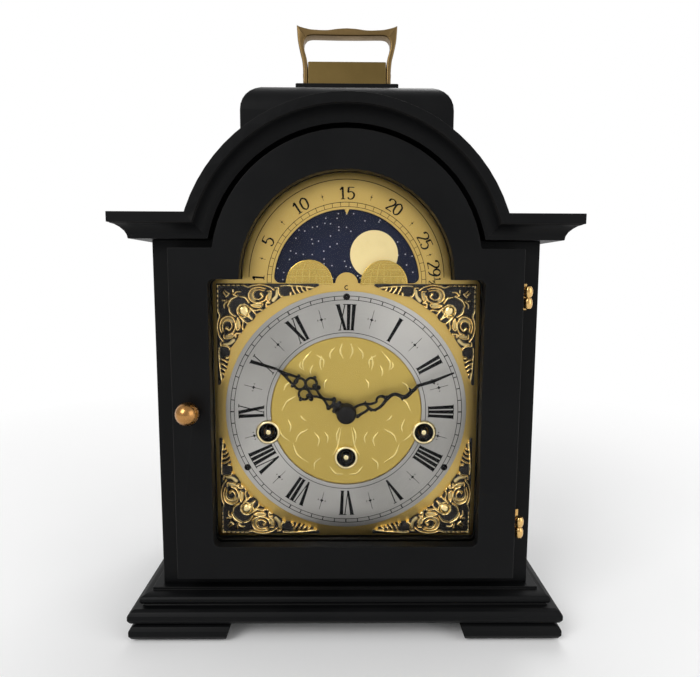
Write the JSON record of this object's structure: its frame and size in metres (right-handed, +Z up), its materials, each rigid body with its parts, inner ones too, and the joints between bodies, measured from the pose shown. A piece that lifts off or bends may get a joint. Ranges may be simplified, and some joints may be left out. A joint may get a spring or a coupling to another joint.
{
  "type": "bracket clock",
  "caption": "Ebonised break-arch bracket clock with moon dial, hinged glazed front door, back door, swinging brass carrying handle and a spring movement.",
  "frame": {"origin": "centre of the bounding box's footprint, on the surface the feet stand on", "axes": "+Z up, +X to the right as seen by a person reading the dial, dial faces -Y"},
  "size_m": [0.2236, 0.1484, 0.3268],
  "materials": {
    "ebonised_wood": "satin black lacquer over wood",
    "brass": "polished and lacquered",
    "gilt_brass": "brushed and gilt",
    "silvered_brass": "circular brushed silvering with black filled engraving",
    "steel": "ground",
    "blackened_steel": "satin black",
    "glass": "clear",
    "moon_paint": "night-blue paint with cream moons"
  },
  "bodies": {
    "case": {"plinth": "ebonised_wood", "foot_front_left": "ebonised_wood", "foot_front_right": "ebonised_wood", "foot_rear_left": "ebonised_wood", "foot_rear_right": "ebonised_wood", "side_panel_left": "ebonised_wood", "side_panel_right": "ebonised_wood", "front_frame": "ebonised_wood", "back_frame": "ebonised_wood", "roof_vault": "ebonised_wood", "cornice_front": "ebonised_wood", "cornice_left": "ebonised_wood", "cornice_right": "ebonised_wood", "caddy_top": "ebonised_wood", "handle_pad": "ebonised_wood", "seat_board": "ebonised_wood", "handle_bar": "brass", "hinge_upper_case": "brass", "hinge_lower_case": "brass", "rear_hinge_case": "brass", "winding_bush_strike": "brass", "winding_bush_time": "brass", "winding_bush_chime": "brass", "front_plate": "brass", "back_plate": "brass", "dial_plate": "gilt_brass", "spandrel_upper_left": "gilt_brass", "spandrel_upper_right": "gilt_brass", "spandrel_lower_left": "gilt_brass", "spandrel_lower_right": "gilt_brass", "chapter_ring": "silvered_brass", "side_glass_left": "glass", "side_glass_right": "glass"},
    "front_door": {"door_frame": "ebonised_wood", "door_glass": "glass", "door_bead": "ebonised_wood", "door_knob": "brass", "hinge_upper_door": "brass", "hinge_lower_door": "brass"},
    "back_door": {"rear_door": "ebonised_wood", "rear_door_knob": "brass", "rear_hinge_door": "brass"},
    "handle": {"carrying_handle": "brass"},
    "minutes": {"centre_wheel": "brass", "minute_hand": "blackened_steel", "hand_nut": "blackened_steel"},
    "hours": {"hour_wheel": "brass", "hour_hand": "blackened_steel"},
    "minute_wheel": {"minute_wheel": "brass"},
    "moon": {"moon_disc": "moon_paint"},
    "time_barrel": {"barrel_time": "brass"},
    "strike_barrel": {"barrel_strike": "brass"},
    "chime_barrel": {"barrel_chime": "brass"},
    "time_arbor": {"winding_arbor_time": "steel"},
    "strike_arbor": {"winding_arbor_strike": "steel"},
    "chime_arbor": {"winding_arbor_chime": "steel"},
    "balance": {"balance_wheel": "brass"}
  },
  "joints": [
    {"name": "front_door_hinge", "type": "hinge", "parent": "case", "child": "front_door", "pos_m": [0.0882, -0.05666, 0.1175], "axis": [0, 0, 1], "range_deg": [0, 110]},
    {"name": "back_door_hinge", "type": "hinge", "parent": "case", "child": "back_door", "pos_m": [-0.0706, 0.06934, 0.116], "axis": [0, 0, 1], "range_deg": [0, 110]},
    {"name": "handle_swing", "type": "hinge", "parent": "case", "child": "handle", "pos_m": [0, 0.00934, 0.3004], "axis": [1, 0, 0], "range_deg": [-85, 85]},
    {"name": "minute_hand_turn", "type": "hinge", "parent": "case", "child": "minutes", "pos_m": [0, -0.04866, 0.1159], "axis": [0, 1, 0], "continuous": true},
    {"name": "hour_hand_turn", "type": "hinge", "parent": "case", "child": "hours", "pos_m": [0, -0.04366, 0.1159], "axis": [0, 1, 0], "continuous": true},
    {"name": "minute_wheel_turn", "type": "hinge", "parent": "case", "child": "minute_wheel", "pos_m": [-0.012, -0.03266, 0.1159], "axis": [0, 1, 0], "continuous": true},
    {"name": "moon_disc_turn", "type": "hinge", "parent": "case", "child": "moon", "pos_m": [0, -0.03966, 0.1824], "axis": [0, 1, 0], "continuous": true},
    {"name": "going_barrel_turn", "type": "hinge", "parent": "case", "child": "time_barrel", "pos_m": [0, -0.00866, 0.0914], "axis": [0, 1, 0], "continuous": true},
    {"name": "strike_barrel_turn", "type": "hinge", "parent": "case", "child": "strike_barrel", "pos_m": [-0.0406, -0.00866, 0.1049], "axis": [0, 1, 0], "continuous": true},
    {"name": "chime_barrel_turn", "type": "hinge", "parent": "case", "child": "chime_barrel", "pos_m": [0.0406, -0.00866, 0.1049], "axis": [0, 1, 0], "continuous": true},
    {"name": "going_winding", "type": "hinge", "parent": "case", "child": "time_arbor", "pos_m": [0, -0.00866, 0.0914], "axis": [0, 1, 0], "continuous": true},
    {"name": "strike_winding", "type": "hinge", "parent": "case", "child": "strike_arbor", "pos_m": [-0.0406, -0.00866, 0.1049], "axis": [0, 1, 0], "continuous": true},
    {"name": "chime_winding", "type": "hinge", "parent": "case", "child": "chime_arbor", "pos_m": [0.0406, -0.00866, 0.1049], "axis": [0, 1, 0], "continuous": true},
    {"name": "balance_swing", "type": "hinge", "parent": "case", "child": "balance", "pos_m": [0.022, 0.02134, 0.14], "axis": [0, 1, 0], "range_deg": [-220, 220], "stiffness_Nm_per_rad": 0.000012}
  ],
  "couplings": [
    {"joint": "hour_hand_turn", "follows": "minute_hand_turn", "ratio": 0.083333},
    {"joint": "minute_wheel_turn", "follows": "minute_hand_turn", "ratio": -0.33333},
    {"joint": "moon_disc_turn", "follows": "minute_hand_turn", "ratio": 0.00070621},
    {"joint": "going_barrel_turn", "follows": "minute_hand_turn", "ratio": -0.1875}
  ]
}
